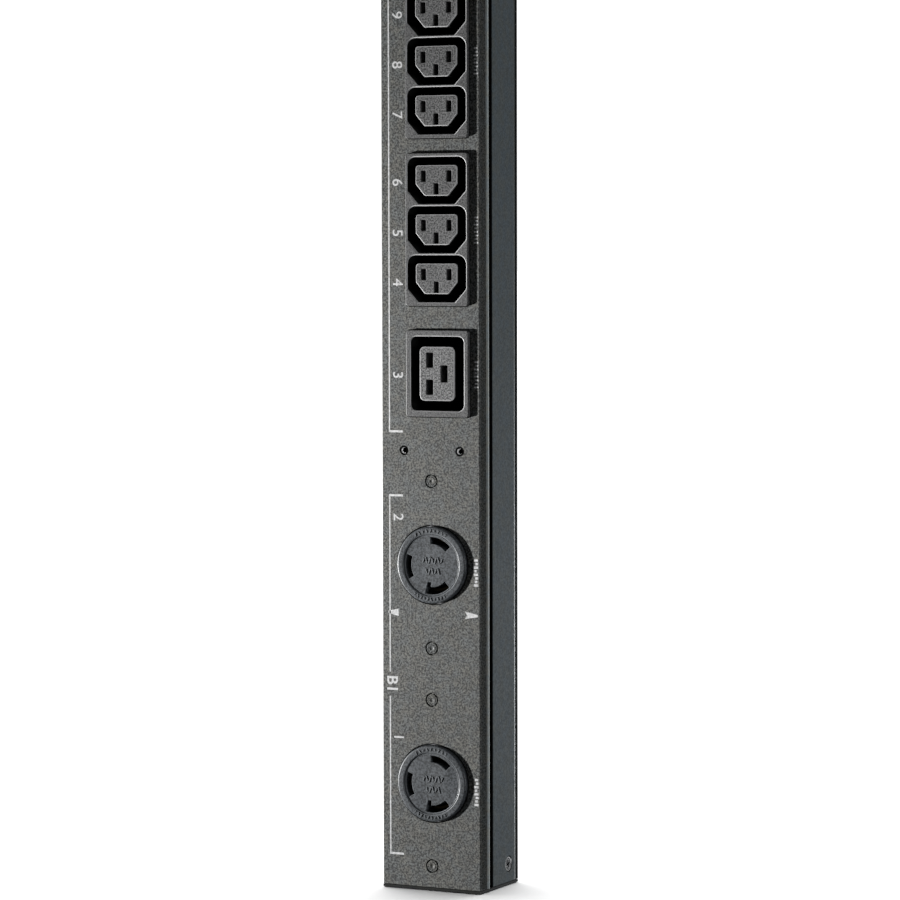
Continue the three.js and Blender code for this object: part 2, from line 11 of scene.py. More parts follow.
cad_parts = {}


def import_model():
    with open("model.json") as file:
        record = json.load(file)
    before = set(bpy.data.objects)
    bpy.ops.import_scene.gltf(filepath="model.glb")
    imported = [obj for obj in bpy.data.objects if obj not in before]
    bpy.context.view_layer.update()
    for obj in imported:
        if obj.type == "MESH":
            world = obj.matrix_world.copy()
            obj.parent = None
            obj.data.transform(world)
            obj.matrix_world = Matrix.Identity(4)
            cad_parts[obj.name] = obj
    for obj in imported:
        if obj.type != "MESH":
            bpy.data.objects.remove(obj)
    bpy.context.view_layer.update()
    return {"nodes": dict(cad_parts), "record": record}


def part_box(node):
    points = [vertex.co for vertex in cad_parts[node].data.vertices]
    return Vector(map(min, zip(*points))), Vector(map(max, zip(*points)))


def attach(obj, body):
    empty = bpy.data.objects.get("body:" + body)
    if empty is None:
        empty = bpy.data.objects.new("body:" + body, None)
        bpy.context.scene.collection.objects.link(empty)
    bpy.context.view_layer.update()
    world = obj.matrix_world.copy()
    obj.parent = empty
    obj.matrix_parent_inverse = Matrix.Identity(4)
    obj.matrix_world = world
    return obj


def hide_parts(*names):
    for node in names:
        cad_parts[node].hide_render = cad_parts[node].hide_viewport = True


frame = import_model()
NODES = frame["nodes"]
MM = 0.001
HOUSING = "housing"


def node_box(node):
    """Lowest and highest corner of a CAD node, in millimetres."""
    low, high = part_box(node)
    return Vector(low) / MM, Vector(high) / MM


def middle(node):
    low, high = node_box(node)
    return (low + high) / 2


def new_object(name, data):
    """An object of the scene that shows the data."""
    made = bpy.data.objects.new(name, data)
    bpy.context.scene.collection.objects.link(made)
    return made


# Camera


def make_camera():
    azimuth, distance, height = math.radians(27.088), 1.94267, 0.33533
    pitch, roll = math.radians(3.157), math.radians(0.126)
    data = bpy.data.cameras.new("camera")
    data.lens, data.sensor_width = 149.08, 36.0
    data.clip_start, data.clip_end = 0.05, 60.0
    camera = new_object("camera", data)
    ahead = Vector((-math.sin(azimuth), math.cos(azimuth), 0)) * math.cos(pitch)
    ahead.z = -math.sin(pitch)
    right = ahead.cross(Vector((0, 0, 1))).normalized()
    up = right.cross(ahead)
    tilted_right = right * math.cos(roll) - up * math.sin(roll)
    tilted_up = right * math.sin(roll) + up * math.cos(roll)
    turn = Matrix((tilted_right, tilted_up, -ahead)).transposed().to_4x4()
    place = Vector((distance * math.sin(azimuth), -distance * math.cos(azimuth), height))
    camera.matrix_world = Matrix.Translation(place) @ turn
    bpy.context.scene.camera = camera


make_camera()

# Materials


class Shader:
    """A principled material whose colour, roughness and bump come from noise in object space."""

    def __init__(self, name, roughness=0.5, metallic=0.0, specular=0.5):
        self.material = bpy.data.materials.new(name)
        self.material.use_nodes = True
        self.tree = self.material.node_tree
        self.tree.nodes.clear()
        self.surface = self.add("BsdfPrincipled", {
            "Roughness": roughness, "Metallic": metallic, "Specular IOR Level": specular})
        self.link(self.surface.outputs["BSDF"], self.add("OutputMaterial").inputs["Surface"])
        self.place = self.add("TexCoord").outputs["Object"]

    def add(self, kind, values=None):
        """A new node, with the values set on its inputs."""
        node = self.tree.nodes.new("ShaderNode" + kind)
        for name, value in (values or {}).items():
            node.inputs[name].default_value = value
        return node

    def link(self, source, socket):
        self.tree.links.new(source, socket)

    def noise(self, size_mm, detail, stretch=(1, 1, 1)):
        """Noise whose features are about size_mm across, shorter along a stretched axis."""
        mapping = self.add("Mapping", {"Scale": stretch})
        self.link(self.place, mapping.inputs["Vector"])
        texture = self.add("TexNoise", {"Scale": 1 / (size_mm * MM), "Detail": detail, "Roughness": 0.55})
        self.link(mapping.outputs["Vector"], texture.inputs["Vector"])
        return texture.outputs["Fac"]

    def ramp(self, source, stops):
        """The source turned into colours; the stops are (position, colour)."""
        ramp = self.add("ValToRGB")
        elements = ramp.color_ramp.elements
        while len(elements) < len(stops):
            elements.new(0.5)
        for element, (position, colour) in zip(elements, stops):
            element.position = position
            element.color = (*colour, 1.0)
        self.link(source, ramp.inputs["Fac"])
        return ramp.outputs["Color"]

    def multiply(self, first, second):
        """Two colours multiplied."""
        mix = self.add("Mix")
        mix.data_type = "RGBA"
        mix.blend_type = "MULTIPLY"
        factor, *colours = [s for s in mix.inputs if s.enabled]
        factor.default_value = 1.0
        for source, socket in zip((first, second), colours):
            self.link(source, socket)
        return next(s for s in mix.outputs if s.enabled)

    def spread(self, source, low, high):
        """The value 0.3 to 0.7 of a noise, stretched to low to high."""
        node = self.add("MapRange", {"From Min": 0.3, "From Max": 0.7, "To Min": low, "To Max": high})
        self.link(source, node.inputs["Value"])
        return node.outputs["Result"]

    def bump(self, height, depth_mm, strength):
        node = self.add("Bump", {"Strength": strength, "Distance": depth_mm * MM})
        self.link(height, node.inputs["Height"])
        self.link(node.outputs["Normal"], self.surface.inputs["Normal"])

    def done(self, colour, roughness=None):
        self.link(colour, self.surface.inputs["Base Color"])
        if roughness is not None:
            self.link(roughness, self.surface.inputs["Roughness"])
        return self.material


def grey(level, warm=0.0):
    return (level * (1 + warm), level, level * (1 - warm))


def powder_coat(name, level, warm, grain_mm, depth_mm, speckle, roughness, specular=0.4):
    """Baked powder paint: coarse orange-peel grain with light and dark specks of two sizes."""
    shader = Shader(name, roughness=roughness, specular=specular)
    coarse = shader.noise(grain_mm, detail=5)
    fine = shader.noise(grain_mm * 0.45, detail=2)
    broad = shader.noise(60, detail=2)
    tint = shader.noise(5, detail=3)
    dark, plain, light = (grey(level * share, warm) for share in (1 - speckle, 1, 1 + speckle))
    colour = shader.ramp(coarse, [(0.41, dark), (0.5, plain), (0.59, light)])
    sparks = shader.ramp(fine, [(0.36, grey(1 - speckle * 0.6)), (0.64, grey(1.0))])
    drift = shader.ramp(tint, [(0.38, (1.0, 1.0, 0.9)), (0.62, (0.92, 1.0, 1.0))])
    shade = shader.ramp(broad, [(0.3, grey(0.93)), (0.7, grey(1.0))])
    for layer in (sparks, drift, shade):
        colour = shader.multiply(colour, layer)
    shader.bump(coarse, depth_mm, 1.0)
    return shader.done(colour, shader.spread(coarse, roughness + 0.08, roughness - 0.08))


def moulded(name, level, warm=0.0, roughness=0.5, grain_mm=0.5, depth_mm=0.03, tint=None, grain=0.14):
    """Injection-moulded plastic: spark-eroded grain and faint flow marks."""
    shader = Shader(name, roughness=roughness, specular=0.5)
    fine = shader.noise(grain_mm, detail=4)
    flow = shader.noise(14, detail=3, stretch=(1, 1, 0.35))
    base = tint or grey(level, warm)
    dark = tuple(c * (1 - grain) for c in base)
    light = tuple(c * (1 + grain) for c in base)
    colour = shader.ramp(fine, [(0.41, dark), (0.5, base), (0.59, light)])
    shade = shader.ramp(flow, [(0.3, grey(0.9)), (0.7, grey(1.0))])
    colour = shader.multiply(colour, shade)
    shader.bump(fine, depth_mm, 0.8)
    return shader.done(colour, shader.spread(flow, roughness - 0.06, roughness + 0.06))


def metal(name, colour, roughness, stretch=(1, 1, 1)):
    """Plated or drawn metal with fine directional marks."""
    shader = Shader(name, roughness=roughness, metallic=1.0)
    lines = shader.noise(0.4, detail=4, stretch=stretch)
    cloud = shader.noise(6, detail=3)
    dark = tuple(c * 0.8 for c in colour)
    tone = shader.ramp(cloud, [(0.3, dark), (0.7, colour)])
    shader.bump(lines, 0.01, 0.5)
    return shader.done(tone, shader.spread(lines, roughness - 0.1, roughness + 0.12))


PAINT_COVER = powder_coat("cover_powder_coat", 0.107, 0.015, 0.95, 0.11, 0.86, 0.55)
PAINT_CHANNEL = powder_coat("channel_powder_coat", 0.165, -0.11, 0.9, 0.012, 0.17, 0.62, 0.08)
# Painted highlight: near-white paint for the cover lips' outer faces, standing in for the light they
# catch.
LIP_HIGHLIGHT = powder_coat("lip_painted_highlight", 0.72, -0.02, 0.8, 0.01, 0.1, 0.5, 0.2)
# Painted shade: near-black for hole edges, the tongue in the seam, screw-hole walls and insert bores,
# where shade falls.
PAINTED_SHADE = powder_coat("shaded_fold_paint", 0.008, 0.0, 0.8, 0.01, 0.1, 0.7, 0.05)
REAR_EDGE = powder_coat("rear_fold_paint", 0.1, -0.05, 0.8, 0.01, 0.1, 0.5, 0.2)
SOCKET = moulded("socket_plastic", 0.085, 0.0, roughness=0.45, grain_mm=0.75, depth_mm=0.06, grain=0.7)
# Painted highlight: light plastic on the groove rims and nose edges, standing in for light caught by
# those edges.
SOCKET_RIM_HIGHLIGHT = moulded("socket_rim_painted_highlight", 0.45, 0.0, roughness=0.33, grain_mm=1.2, depth_mm=0.01, grain=0.12)
# Painted shade: near-black for groove walls, groove floors and nose feet, where shade falls in the
# recess.
SOCKET_RECESS_SHADE = powder_coat("socket_recess_painted_shade", 0.008, 0.0, 0.8, 0.01, 0.1, 0.7, 0.05)
NOSE_GRAIN = {"roughness": 0.45, "grain_mm": 0.8, "depth_mm": 0.07, "grain": 0.9}
SMALL_NOSE = moulded("small_socket_nose", 0.09, 0.0, **NOSE_GRAIN)
LARGE_NOSE = moulded("large_socket_nose", 0.117, 0.0, **NOSE_GRAIN)
TWIST = moulded("twist_lock_plastic", 0.067, -0.09, roughness=0.4,
                grain_mm=0.85, depth_mm=0.05, grain=0.6)
# Painted highlight: lighter plastic on the twist-lock rim edge, the step, the slot mouths and the raised
# marks.
TWIST_HIGHLIGHT = moulded("twist_lock_painted_highlight", 0.15, -0.06, roughness=0.42, grain_mm=1.2, depth_mm=0.01)
BLACK_PLASTIC = moulded("black_plastic", 0.02, roughness=0.42, grain_mm=0.6, depth_mm=0.03)
PALE_PLASTIC = moulded("natural_plastic", 0.55, 0.06, roughness=0.5)
RUBBER = moulded("rubber", 0.015, roughness=0.8, grain_mm=0.8, depth_mm=0.03)
BLACK_WIRE = moulded("black_insulation", 0.015, roughness=0.4, depth_mm=0.01)
WHITE_WIRE = moulded("white_insulation", 0.7, roughness=0.4, depth_mm=0.01)
GREEN_WIRE = moulded("green_insulation", 0.2, roughness=0.4, depth_mm=0.01, tint=(0.03, 0.22, 0.06))
PRINT = moulded("print_white", 0.6, roughness=0.5, grain_mm=0.7, depth_mm=0.01, grain=0.2)
BLACK_STEEL = powder_coat("black_steel", 0.012, 0.0, 0.8, 0.02, 0.2, 0.6, 0.15)
SCREW = metal("black_screw", (0.07, 0.07, 0.072), 0.35)
# Painted highlight: near-white for screw recess mouths and rims and for the insert's mouth, standing in
# for glints.
SCREW_HIGHLIGHT = moulded("screw_painted_highlight", 0.85, 0.0, roughness=0.4, depth_mm=0.01)
ZINC = metal("zinc_plate", (0.66, 0.67, 0.69), 0.3)
# Brass darkened to painted shade, as the contacts sit deep in the slots.
SHADE_DARKENED_BRASS = metal("brass", (0.17, 0.125, 0.065), 0.45, stretch=(1, 1, 0.1))
COPPER = metal("copper", (0.5, 0.27, 0.16), 0.4, stretch=(1, 1, 0.1))

BY_SLOT = {
    "cover_paint": PAINT_COVER, "channel_paint": PAINT_CHANNEL, "socket_plastic": SOCKET,
    "dark_plastic": BLACK_PLASTIC, "zinc_steel": ZINC, "black_steel": BLACK_STEEL, "brass": SHADE_DARKENED_BRASS,
    "copper": COPPER, "pale_plastic": PALE_PLASTIC, "rubber": RUBBER, "black_wire": BLACK_WIRE,
    "white_wire": WHITE_WIRE, "green_wire": GREEN_WIRE,
}
SLOT_OF = {row["node"]: row["material_slot"] for row in frame["record"]["subparts"]}

# Mesh building


SHARP = math.radians(38)


class Builder:
    """Collects rings of vertices in millimetres and joins them into one closed mesh.

    A face's slot picks its material: 0 the main one, 1 and up those given to build as others.
    """

    def __init__(self):
        self.points = []
        self.faces = []
        self.flat = set()
        self.slots = {}

    def ring(self, points):
        first = len(self.points)
        self.points.extend(tuple(p) for p in points)
        return list(range(first, len(self.points)))

    def front_ring(self, outline, depth, at=(0, 0)):
        """Ring of an (x, z) outline at the given y."""
        return self.ring((u + at[0], depth, v + at[1]) for u, v in outline)

    def face(self, corners, slot=0):
        if slot:
            self.slots[len(self.faces)] = slot
        self.faces.append(tuple(corners))

    def skirt(self, first, second, slot=0):
        count = len(first)
        for i in range(count):
            j = (i + 1) % count
            self.face((first[i], first[j], second[j], second[i]), slot)

    def stack(self, rings, slot=0):
        for first, second in zip(rings, rings[1:]):
            self.skirt(first, second, slot)

    def fill(self, rings, axes=(0, 2), slot=0):
        """Flat face inside the first ring, with the other rings as holes."""
        order = [index for ring in rings for index in ring]
        loops = [
            [Vector((self.points[i][axes[0]], self.points[i][axes[1]], 0)) for i in ring]
            for ring in rings
        ]
        for triangle in tessellate_polygon(loops):
            self.flat.add(len(self.faces))
            self.face([order[i] for i in triangle], slot)

    def solid(self, rings):
        """Stacks the rings and closes the first and the last one."""
        self.stack(rings)
        self.fill([rings[0]])
        self.fill([rings[-1]])

    def build(self, name, material, body=HOUSING, replaces=(), others=()):
        """Makes the mesh, which rides on the body and stands in for the CAD nodes it replaces."""
        mesh = bpy.data.meshes.new(name)
        mesh.from_pydata([Vector(p) * MM for p in self.points], [], self.faces)
        for polygon in mesh.polygons:
            polygon.use_smooth = polygon.index not in self.flat
            polygon.material_index = self.slots.get(polygon.index, 0)
        work = bmesh.new()
        work.from_mesh(mesh)
        bmesh.ops.remove_doubles(work, verts=work.verts, dist=1e-7)
        bmesh.ops.recalc_face_normals(work, faces=work.faces)
        for edge in work.edges:
            edge.smooth = edge.calc_face_angle(0) < SHARP
        work.to_mesh(mesh)
        work.free()
        piece = new_object(name, mesh)
        for used in (material, *others):
            mesh.materials.append(used)
        weighted = piece.modifiers.new("weighted_normals", "WEIGHTED_NORMAL")
        weighted.keep_sharp = True
        weighted.weight = 90
        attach(piece, body)
        if replaces:
            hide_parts(*replaces)


def arc(centre_u, centre_v, radius, start, end, steps):
    """Points from one angle to another, in degrees."""
    angles = [math.radians(start + (end - start) * i / steps) for i in range(steps + 1)]
    return [(centre_u + radius * math.cos(a), centre_v + radius * math.sin(a)) for a in angles]


def circle(radius, count=64):
    return arc(0, 0, radius, 0, 360 - 360 / count, count - 1)


def rectangle(x0, x1, z0, z1):
    return [(x0, z0), (x1, z0), (x1, z1), (x0, z1)]


def rounded(width, height, radius, steps=5):
    u, v = width / 2 - radius, height / 2 - radius
    points = []
    for quarter, (across, up) in enumerate(((u, v), (-u, v), (-u, -v), (u, -v))):
        points += arc(across, up, radius, 90 * quarter, 90 * quarter + 90, steps)
    return points


def socket_outline(width, height, radius, cut_across, cut_up, grow):
    """Two rounded corners at the top, two cut ones (with softened ends) at the bottom."""
    u, v = width / 2 + grow, height / 2 + grow
    radius = radius + grow
    lean = 0.43 * grow
    points = arc(u - radius, v - radius, radius, 0, 90, 7)
    points += arc(-u + radius, v - radius, radius, 90, 180, 7)
    across, up, soft = cut_across + lean, cut_up + lean, 0.6
    slope = math.hypot(across, up)
    du, dv = across / slope * soft, up / slope * soft
    left = [
        (-u, -v + up + soft), (-u + du * 0.3, -v + up - dv * 0.2), (-u + du, -v + up - dv),
        (-u + across - du, -v + dv), (-u + across - du * 0.2, -v + dv * 0.3), (-u + across + soft, -v),
    ]
    return points + left + [(-x, z) for x, z in reversed(left)]


def sector(inner, outer, start, end):
    return arc(0, 0, outer, start, end, 14) + arc(0, 0, inner, end, start, 14)


def turned(builder, profile, axis, place, count=48, shape=None, closed=False):
    """Solid of revolution about y or z. The profile is (radius, along), ending on the axis or closed.

    shape(angle, radius, along) gives the actual radius where the section isn't round.
    """
    rings = []
    for radius, along in profile:
        points = []
        for i in range(count if radius > 0 else 1):
            angle = 2 * math.pi * i / count
            reach = shape(angle, radius, along) if shape else radius
            a, b = reach * math.cos(angle), reach * math.sin(angle)
            points.append(Vector(place) + Vector((a, along, b) if axis == "y" else (a, b, along)))
        rings.append(builder.ring(points))
    if closed:
        rings.append(rings[0])
    for first, second in zip(rings, rings[1:]):
        if len(first) == 1 or len(second) == 1:
            tip, loop = (first, second) if len(first) == 1 else (second, first)
            for i in range(len(loop)):
                builder.face((tip[0], loop[i], loop[(i + 1) % len(loop)]))
        else:
            builder.skirt(first, second)


# Housing

COVER_LOW, COVER_HIGH = node_box("front_cover")
FRONT = COVER_LOW.y
INNER = FRONT + 1.2
BEZEL = FRONT - 2.0
PLATE_TOP = node_box("end_plate_top")[1].z
HALF = node_box("rear_channel")[1].x
ROCKER_AXIS = -19.5
BLOCK_WIDTH, TRIPLE_HEIGHT, LARGE_HEIGHT = 36.0, 78.6, 44.8
OUTLET_PITCH = 25.25
BREAKER_WIDTH, BREAKER_HEIGHT = 34, 46
WINDOW_GAP = 0.3
LIFT = 0.002  # between a mark's foot and the face under it
TWIST_OUTLETS = (1, 2)
BREAKERS = (1, 2)


def triple_names():
    return sorted((n for n in NODES if n.startswith("outlets_")), key=lambda n: middle(n).z)


def punched(builder, outline_at, centre, edge, slot):
    """Punched hole through the front sheet; returns its rings on the front and inner faces."""
    path = ((edge, FRONT), (edge * 0.3, FRONT + edge * 0.3), (0, FRONT + edge), (0, INNER))
    rings = [builder.front_ring(outline_at(grow), depth, (centre.x, centre.z)) for grow, depth in path]
    builder.stack(rings[:3], slot)
    builder.stack(rings[2:])
    return rings[0], rings[-1]


def cover_section():
    """Right half of the cover's section in (x, y): the bend, the lip and the inner side."""
    corner, flange, soft = 0.45, 1.0, 0.3
    lip_front, lip_rear, reach = -14.1, -12.9, COVER_HIGH.x
    bend = arc(HALF - corner, FRONT + corner, corner, 270, 360, 6)
    lip = (
        [(HALF, lip_front - 0.1), (HALF + 0.1, lip_front)]
        + arc(reach - soft, lip_front + soft, soft, 270, 360, 4)
        + arc(reach - soft, lip_rear - soft, soft, 0, 90, 4)
    )
    return bend, lip, [(HALF - flange, lip_rear), (HALF - flange, INNER)]


def stud_seat(builder, centre):
    """Stepped hole for a stud's head; returns its rings on the front and inner faces."""
    path = ((3.8, FRONT), (3.6, FRONT + 0.2), (3.6, FRONT + 0.8), (1.9, FRONT + 0.8), (1.9, INNER))
    rings = [builder.front_ring(circle(r), depth, (centre.x, centre.z)) for r, depth in path]
    builder.stack(rings)
    return rings[0], rings[-1]


def window(width, height, corner, steps):
    """Outline of the hole round a block, as a function of how far it is grown."""
    def outline_at(grow):
        margin = 2 * (WINDOW_GAP + grow)
        return rounded(width + margin, height + margin, corner + grow, steps)
    return outline_at


def cover_holes(builder):
    """Every hole of the cover, as pairs of rings on the front and inner faces."""
    pairs = []
    # The round holes' edges, for the twist outlets and the inserts, take painted shade (slot 2).
    for number in TWIST_OUTLETS:
        pairs.append(punched(builder, lambda grow: circle(20.3 + grow, 96),
                             middle(f"outlet_{number}_body"), 0.5, 2))
        for word in ("low", "high"):
            pairs.append(stud_seat(builder, middle(f"outlet_{number}_stud_{word}")))
    for node in sorted(n for n in NODES if n.startswith("insert_")):
        pairs.append(punched(builder, lambda grow: circle(2.15 + grow, 32), middle(node), 0.45, 2))
    for name in ["outlet_3_body"] + triple_names():
        height = LARGE_HEIGHT if name == "outlet_3_body" else TRIPLE_HEIGHT
        pairs.append(punched(builder, window(BLOCK_WIDTH, height, 1.8, 5), middle(name), 0.2, 0))
    for number in BREAKERS:
        outline_at = window(BREAKER_WIDTH, BREAKER_HEIGHT, 0.3, 3)
        pairs.append(punched(builder, outline_at, middle(f"breaker_{number}_body"), 0.2, 0))
    return pairs


def front_cover():
    """Folded sheet with outward lips, whose outer faces carry a painted highlight, and all its holes."""
    b = Builder()
    bend, lip, inside = cover_section()
    right = bend + lip + inside
    profile = right + [(-x, y) for x, y in reversed(right)]
    bottom = b.ring((x, y, COVER_LOW.z) for x, y in profile)
    top = b.ring((x, y, COVER_HIGH.z) for x, y in profile)
    count = len(profile)
    inner_edge = len(right) - 1
    # These lip faces take the painted highlight (slot 1).
    bright = set(range(len(bend), len(bend) + len(lip) - 1))
    bright |= {count - 2 - i for i in bright}
    for i in range(count):
        if i in (inner_edge, count - 1):
            continue
        j = (i + 1) % count
        b.face((bottom[i], bottom[j], top[j], top[i]), 1 if i in bright else 0)
    b.fill([bottom], axes=(0, 1))
    b.fill([top], axes=(0, 1))
    holes = cover_holes(b)
    face = [bottom[count - 1], bottom[0], top[0], top[count - 1]]
    b.fill([face] + [front for front, inner in holes])
    back = [bottom[inner_edge], bottom[inner_edge + 1], top[inner_edge + 1], top[inner_edge]]
    b.fill([back] + [inner for front, inner in holes])
    b.build("cover_sheet", PAINT_COVER, replaces=["front_cover"],
            others=(LIP_HIGHLIGHT, PAINTED_SHADE))


def rear_channel():
    """Two folded side walls with a tongue behind the cover, rear flanges and two cross straps."""
    b = Builder()
    box_low, box_high = node_box("rear_channel")
    low, high = box_low.z, box_high.z
    sheet, shoulder, fold, lean = 1.2, -7.1, 17.9, 0.3
    outer, inner, tongue = 26.7, 25.5, box_low.y
    wall, rear, flange = HALF - sheet, box_high.y, 18.0
    soft = 0.25
    profile = (
        arc(HALF - soft, shoulder + soft, soft, 0, -90, 3)
        + [(outer, shoulder), (outer, tongue), (inner, tongue), (inner, shoulder + sheet),
           (wall, shoulder + sheet), (wall, fold - sheet), (wall - lean, rear - sheet),
           (flange, rear - sheet), (flange, rear)]
        + arc(HALF - lean - soft, rear - soft, soft, 90, 0, 3)
        + [(HALF, fold)]
    )
    count = len(profile)
    outside = count - 1
    inside = profile.index((wall, shoulder + sheet))
    tongue_side = profile.index((outer, shoulder))
    # The tongue's faces in the seam take painted shade (slot 2).
    slots = {outside - 1: 1, tongue_side - 1: 2, tongue_side: 2, tongue_side + 1: 2}
    for side in (1, -1):
        bottom = b.ring((side * x, y, low) for x, y in profile)
        top = b.ring((side * x, y, high) for x, y in profile)
        for i in range(count):
            if i not in (outside, inside):
                j = (i + 1) % count
                b.face((bottom[i], bottom[j], top[j], top[i]), slots.get(i, 0))
        b.fill([bottom], axes=(0, 1))
        b.fill([top], axes=(0, 1))
        outer_holes, inner_holes = [], []
        for end in ("bottom", "top"):
            screw = middle(f"side_screw_{end}_{'right' if side > 0 else 'left'}")
            rings = [
                b.ring((side * across, screw.y + u, screw.z + v) for u, v in circle(radius, 48))
                for radius, across in ((4.25, HALF), (4.1, HALF - 0.08), (2.4, wall))
            ]
            # The screw holes' walls take painted shade (slot 2).
            b.stack(rings, slot=2)
            outer_holes.append(rings[0])
            inner_holes.append(rings[-1])
        for i, holes in ((outside, outer_holes), (inside, inner_holes)):
            j = (i + 1) % count
            b.fill([[bottom[i], bottom[j], top[j], top[i]]] + holes, axes=(1, 2))
    path = ((0.2, rear - sheet), (0, rear - sheet + 0.2), (0, rear - 0.2), (0.2, rear))
    for height in (low + 50, high - 50):
        b.solid([b.front_ring(rounded(2 * flange - 0.2, 40 - 2 * inset, 1.0), depth, (0, height))
                 for inset, depth in path])
    b.build("channel_sheet", PAINT_CHANNEL, replaces=["rear_channel"],
            others=(REAR_EDGE, PAINTED_SHADE))


def rivets():
    """Pressed rivet heads that hold the back plate to the flanges."""
    back = node_box("back_plate")[1].y
    for row, height in enumerate((38, 247, 457, 667, 876), start=1):
        for word, across in (("left", -23.5), ("right", 23.5)):
            b = Builder()
            profile = [(0, back + 0.75), (0.9, back + 0.7), (1.7, back + 0.5), (2.2, back + 0.2),
                       (2.25, back + 0.02), (0, back + 0.01)]
            turned(b, profile, "y", (across, 0, height), 32)
            b.build(f"rivet_{row}_{word}", ZINC)


def side_screw(end, word):
    """Countersunk screw with a cross recess."""
    node = f"side_screw_{end}_{word}"
    side = 1 if word == "right" else -1
    centre = middle(node)
    b = Builder()
    face = HALF - 0.05

    def ring(outline, across):
        return b.ring((side * across, centre.y + u, centre.z + v) for u, v in outline)

    arm, half = 2.1, 0.55
    cross, quarter = [], [(half, half), (half, arm), (-half, arm)]
    for _ in range(4):
        cross += quarter
        quarter = [(-v, u) for u, v in quarter]
    turn = math.radians(18)
    cross = [(u * math.cos(turn) - v * math.sin(turn), u * math.sin(turn) + v * math.cos(turn))
             for u, v in cross]
    small = [(u * 0.55, v * 0.55) for u, v in cross]
    grown = [(u * 1.3, v * 1.3) for u, v in cross]
    rim = ring(circle(3.2, 48), face)
    hole = ring(grown, face)
    b.fill([rim, hole], axes=(1, 2))
    lip = ring(cross, face - 0.25)
    floor = ring(small, face - 1.2)
    # The recess mouth takes the painted highlight (slot 1).
    b.stack([hole, lip], slot=1)
    b.stack([lip, floor])
    b.fill([floor], axes=(1, 2))
    rings = [rim, ring(circle(3.7, 48), face - 0.15), ring(circle(3.75, 48), face - 0.3),
             ring(circle(1.6, 48), face - 1.58)]
    low, high = node_box(node)
    tip = min(abs(low.x), abs(high.x))
    along = face - 1.58
    pitch = 0.5
    while along - pitch > tip + 1:
        rings.append(ring(circle(1.35, 48), along - pitch / 2))
        rings.append(ring(circle(1.6, 48), along - pitch))
        along -= pitch
    rings.append(ring(circle(1.1, 48), tip))
    # The head's rim takes the painted highlight (slot 1).
    b.stack(rings[:2], slot=1)
    b.stack(rings[1:])
    b.fill([rings[-1]], axes=(1, 2))
    b.build(f"screw_{end}_{word}", SCREW, replaces=[node], others=(SCREW_HIGHLIGHT,))


def strap_stud(node):
    """Flush press-in stud: a low ringed head, painted with the cover, and a threaded shank."""
    b = Builder()
    centre = middle(node)
    high = node_box(node)[1]
    profile = [(0, FRONT + 0.3), (0.7, FRONT + 0.28), (0.95, FRONT + 0.1), (1.15, FRONT + 0.04),
               (1.9, FRONT + 0.04), (2.05, FRONT + 0.2), (2.3, FRONT + 0.2), (2.45, FRONT + 0.08),
               (2.8, FRONT + 0.1), (3.0, FRONT + 0.3), (3.0, FRONT + 0.5), (1.6, FRONT + 0.5)]
    y = FRONT + 2.4
    while y < high.y - 0.8:
        profile += [(1.6, y), (1.36, y + 0.25)]
        y += 0.5
    profile += [(1.3, high.y), (0, high.y)]
    turned(b, profile, "y", (centre.x, 0, centre.z))
    b.build(node + "_head", PAINT_COVER, replaces=[node])


def insert_sleeve(node):
    """Threaded insert: a collar in the cover's hole, with a painted highlight inside its mouth and
    painted shade on its collar walls and bore.
    """
    b = Builder()
    centre = middle(node)
    low, high = node_box(node)
    mouth = FRONT + 0.2
    path = [(1.3, mouth + 1.3), (1.6, mouth), (1.8, mouth + 0.05), (1.8, low.y), (3.1, low.y),
            (3.4, low.y + 0.3), (3.4, high.y - 0.3), (3.1, high.y), (1.9, high.y)]
    outside = len(path)
    y = high.y - 0.6
    while y > mouth + 1.9:
        path += [(1.5, y), (1.75, y - 0.3)]
        y -= 0.6
    rings = [b.front_ring(circle(radius, 40), depth, (centre.x, centre.z)) for radius, depth in path]
    # The collar's mouth takes the painted highlight (slot 1).
    b.stack(rings[:2], slot=1)
    # The collar's walls and the bore's thread take painted shade (slot 2).
    b.stack(rings[1:4], slot=2)
    b.stack(rings[3:outside])
    b.stack(rings[outside - 1:] + [rings[0]], slot=2)
    b.build(node + "_sleeve", ZINC, replaces=[node],
            others=(SCREW_HIGHLIGHT, PAINTED_SHADE))


# Outlets


def slot_rings(b, outline_at, at, front, back):
    """Rings of a slot with a softened mouth, from the front face to the back."""
    path = ((0.22, front), (0.06, front + 0.08), (0.0, front + 0.25), (0.0, back))
    rings = [b.front_ring(outline_at(grow), depth, at) for grow, depth in path]
    b.stack(rings)
    return rings[0], rings[-1]


